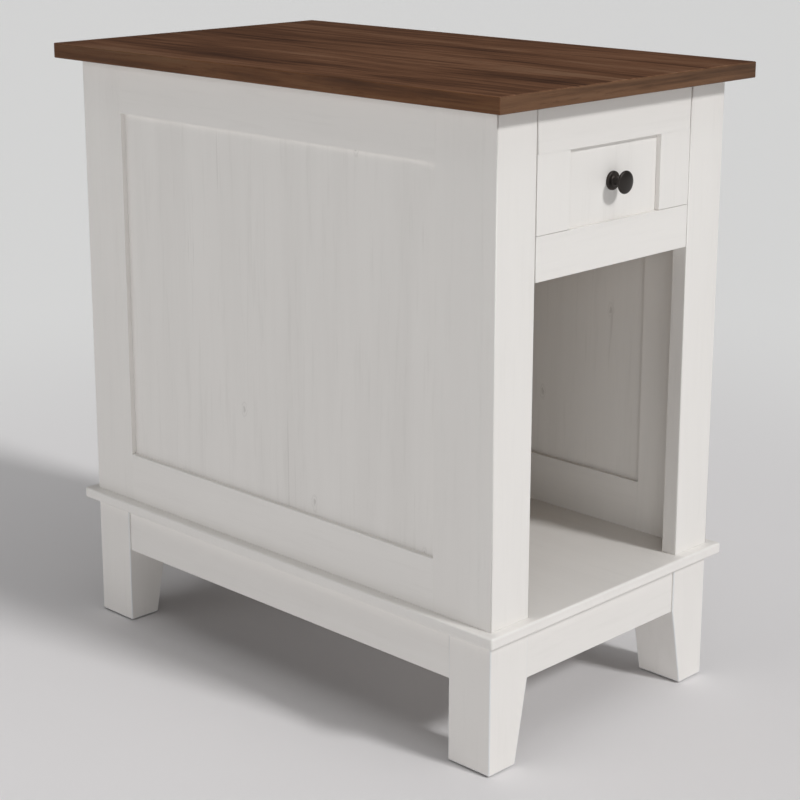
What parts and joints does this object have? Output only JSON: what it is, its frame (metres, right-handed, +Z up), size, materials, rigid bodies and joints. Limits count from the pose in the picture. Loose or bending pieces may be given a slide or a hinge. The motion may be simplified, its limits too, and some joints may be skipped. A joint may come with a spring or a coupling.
{
  "type": "side table with drawer",
  "caption": "Narrow side table with a brown wood top, a white framed body, an inset drawer over an open compartment, and a base of tapered feet.",
  "frame": {"origin": "on the floor, under the middle of the top", "axes": "+Z up, the drawer opens towards -Y, +X to the right of someone facing the drawer"},
  "size_m": [0.356, 0.6, 0.61],
  "materials": {
    "white_paint": "satin white paint over wood, faint upright grain",
    "walnut_top": "satin walnut-brown wood grain running front to back",
    "birch_board": "plain clear-sealed light wood",
    "dark_bronze": "satin dark bronze",
    "zinc_steel": "zinc-plated steel",
    "grey_nylon": "matt grey nylon"
  },
  "bodies": {
    "frame": {"table_top": "walnut_top", "front_post_left": "white_paint", "front_post_right": "white_paint", "side_front_stile_left": "white_paint", "side_front_stile_right": "white_paint", "side_rear_stile_left": "white_paint", "side_rear_stile_right": "white_paint", "side_top_rail_left": "white_paint", "side_top_rail_right": "white_paint", "side_bottom_rail_left": "white_paint", "side_bottom_rail_right": "white_paint", "side_panel_left": "white_paint", "side_panel_right": "white_paint", "back_panel": "white_paint", "front_stretcher": "birch_board", "back_stretcher": "birch_board", "top_screw_front_left": "zinc_steel", "top_screw_front_right": "zinc_steel", "top_screw_back_left": "zinc_steel", "top_screw_back_right": "zinc_steel", "bottom_board": "white_paint", "base_rail_front": "white_paint", "base_rail_back": "white_paint", "base_rail_left": "white_paint", "base_rail_right": "white_paint", "foot_front_left": "white_paint", "foot_front_right": "white_paint", "foot_back_left": "white_paint", "foot_back_right": "white_paint", "glide_front_left": "grey_nylon", "glide_front_right": "grey_nylon", "glide_back_left": "grey_nylon", "glide_back_right": "grey_nylon", "corner_block_front_left": "birch_board", "corner_block_front_right": "birch_board", "corner_block_back_left": "birch_board", "corner_block_back_right": "birch_board", "runner_strip_left": "birch_board", "runner_strip_right": "birch_board", "runner_fixed_left": "zinc_steel", "runner_fixed_right": "zinc_steel"},
    "drawer": {"drawer_front_top_rail": "white_paint", "drawer_front_bottom_rail": "white_paint", "drawer_front_stile_left": "white_paint", "drawer_front_stile_right": "white_paint", "drawer_front_panel": "white_paint", "drawer_inner_front": "birch_board", "drawer_side_left": "birch_board", "drawer_side_right": "birch_board", "drawer_back": "birch_board", "drawer_bottom": "birch_board", "knob_rosette": "dark_bronze", "knob": "dark_bronze", "knob_screw": "zinc_steel", "runner_drawer_left": "zinc_steel", "runner_drawer_right": "zinc_steel"},
    "runner_left": {"runner_middle_left": "zinc_steel"},
    "runner_right": {"runner_middle_right": "zinc_steel"}
  },
  "joints": [
    {"name": "drawer_slide", "type": "slide", "parent": "frame", "child": "drawer", "axis": [0, -1, 0], "range_m": [0, 0.4]},
    {"name": "runner_left_slide", "type": "slide", "parent": "frame", "child": "runner_left", "axis": [0, -1, 0], "range_m": [0, 0.2]},
    {"name": "runner_right_slide", "type": "slide", "parent": "frame", "child": "runner_right", "axis": [0, -1, 0], "range_m": [0, 0.2]}
  ],
  "couplings": [
    {"joint": "runner_left_slide", "follows": "drawer_slide", "ratio": 0.5},
    {"joint": "runner_right_slide", "follows": "drawer_slide", "ratio": 0.5}
  ]
}
